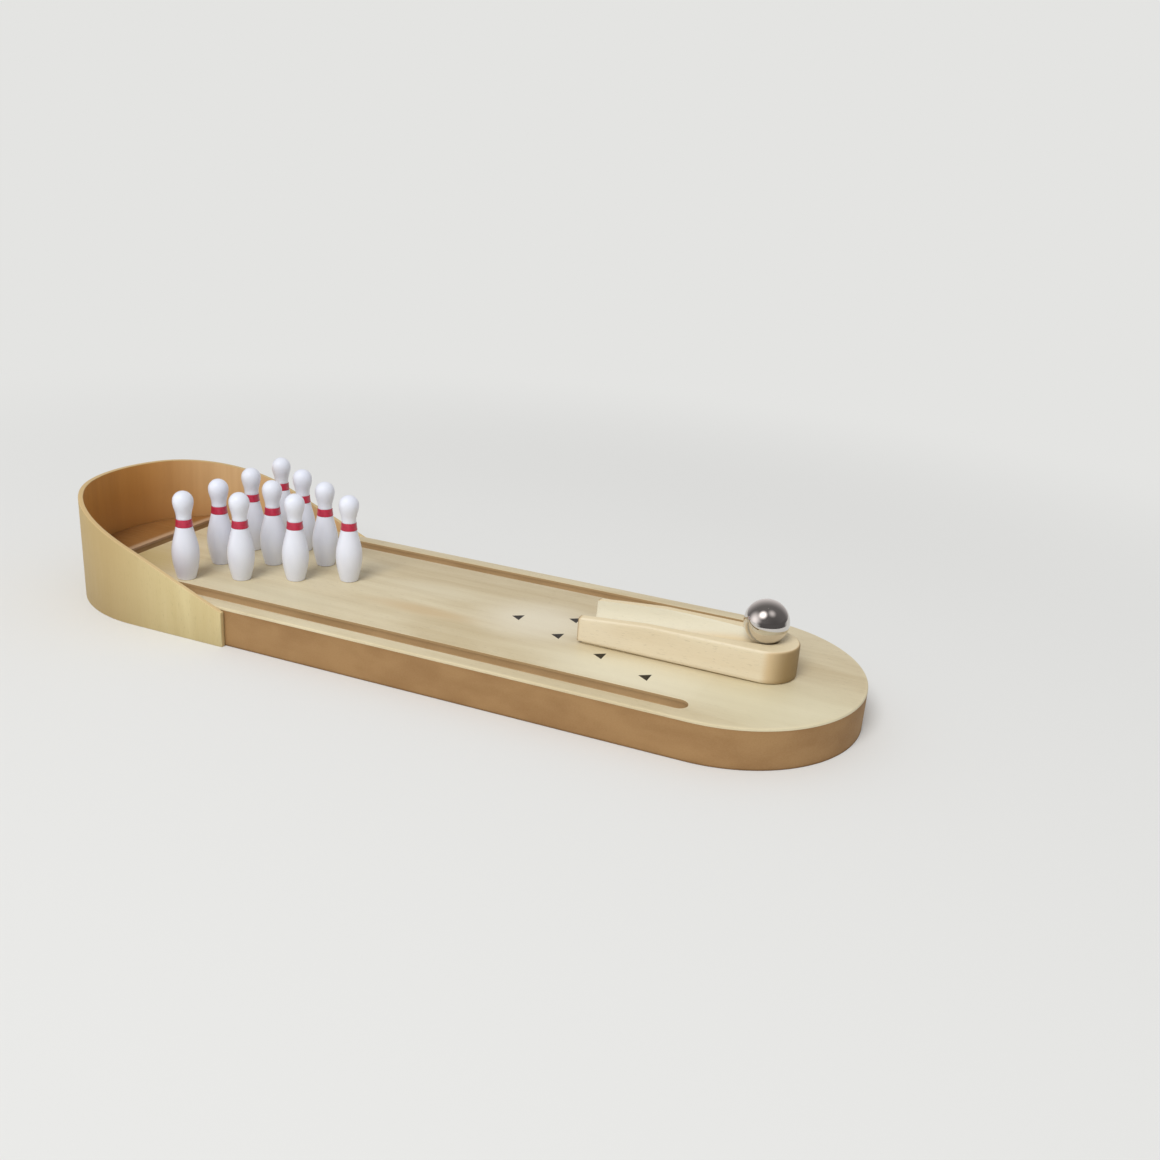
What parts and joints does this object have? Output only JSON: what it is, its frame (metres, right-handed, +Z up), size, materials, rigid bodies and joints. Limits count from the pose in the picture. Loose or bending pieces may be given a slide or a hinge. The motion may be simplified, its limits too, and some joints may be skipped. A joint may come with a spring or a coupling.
{
  "type": "tabletop bowling game",
  "caption": "Wooden tabletop lane with side gutters and a bent backstop, pins that topple, and a steel ball that rolls down a grooved ramp.",
  "frame": {"origin": "the middle of the game's footprint, on the surface it stands on", "axes": "+X from the pins to the player, +Y to the player's right, +Z up"},
  "size_m": [0.302, 0.096, 0.0472],
  "materials": {
    "core": "matt",
    "veneer": "satin",
    "catch": "matt",
    "backstop": "matt",
    "ramp": "matt",
    "steel": "polished",
    "pin_white": "gloss",
    "stripe_crimson": "gloss"
  },
  "bodies": {
    "board": {"base_core": "core", "deck_veneer": "veneer", "catch_veneer": "catch", "underside_veneer": "core", "backstop": "backstop"},
    "ramp": {"ramp": "ramp"},
    "ball": {"ball": "steel"},
    "pin_1": {"pin_1": "pin_white", "stripe_1": "stripe_crimson"},
    "pin_2": {"pin_2": "pin_white", "stripe_2": "stripe_crimson"},
    "pin_3": {"pin_3": "pin_white", "stripe_3": "stripe_crimson"},
    "pin_4": {"pin_4": "pin_white", "stripe_4": "stripe_crimson"},
    "pin_5": {"pin_5": "pin_white", "stripe_5": "stripe_crimson"},
    "pin_6": {"pin_6": "pin_white", "stripe_6": "stripe_crimson"},
    "pin_7": {"pin_7": "pin_white", "stripe_7": "stripe_crimson"},
    "pin_8": {"pin_8": "pin_white", "stripe_8": "stripe_crimson"},
    "pin_9": {"pin_9": "pin_white", "stripe_9": "stripe_crimson"},
    "pin_10": {"pin_10": "pin_white", "stripe_10": "stripe_crimson"}
  },
  "joints": [
    {"name": "ramp_aim", "type": "hinge", "parent": "board", "child": "ramp", "pos_m": [0.117, 0, 0.0142], "axis": [0, 0, 1], "range_deg": [-15, 15]},
    {"name": "ball_roll", "type": "slide", "parent": "ramp", "child": "ball", "axis": [-0.9891, 0, -0.1471], "range_m": [0, 0.0656]},
    {"name": "pin_1_topple", "type": "hinge", "parent": "board", "child": "pin_1", "pos_m": [-0.0454, 0, 0.0142], "axis": [0, -1, 0], "range_deg": [0, 56]},
    {"name": "pin_2_topple", "type": "hinge", "parent": "board", "child": "pin_2", "pos_m": [-0.06229, -0.00975, 0.0142], "axis": [0, -1, 0], "range_deg": [0, 56]},
    {"name": "pin_3_topple", "type": "hinge", "parent": "board", "child": "pin_3", "pos_m": [-0.06229, 0.00975, 0.0142], "axis": [0, -1, 0], "range_deg": [0, 56]},
    {"name": "pin_4_topple", "type": "hinge", "parent": "board", "child": "pin_4", "pos_m": [-0.07917, -0.0195, 0.0142], "axis": [0, -1, 0], "range_deg": [0, 77]},
    {"name": "pin_5_topple", "type": "hinge", "parent": "board", "child": "pin_5", "pos_m": [-0.07917, 0, 0.0142], "axis": [0, -1, 0], "range_deg": [0, 77]},
    {"name": "pin_6_topple", "type": "hinge", "parent": "board", "child": "pin_6", "pos_m": [-0.07917, 0.0195, 0.0142], "axis": [0, -1, 0], "range_deg": [0, 77]},
    {"name": "pin_7_topple", "type": "hinge", "parent": "board", "child": "pin_7", "pos_m": [-0.09606, -0.02925, 0.0142], "axis": [0, -1, 0], "range_deg": [0, 77]},
    {"name": "pin_8_topple", "type": "hinge", "parent": "board", "child": "pin_8", "pos_m": [-0.09606, -0.00975, 0.0142], "axis": [0, -1, 0], "range_deg": [0, 77]},
    {"name": "pin_9_topple", "type": "hinge", "parent": "board", "child": "pin_9", "pos_m": [-0.09606, 0.00975, 0.0142], "axis": [0, -1, 0], "range_deg": [0, 77]},
    {"name": "pin_10_topple", "type": "hinge", "parent": "board", "child": "pin_10", "pos_m": [-0.09606, 0.02925, 0.0142], "axis": [0, -1, 0], "range_deg": [0, 77]}
  ]
}
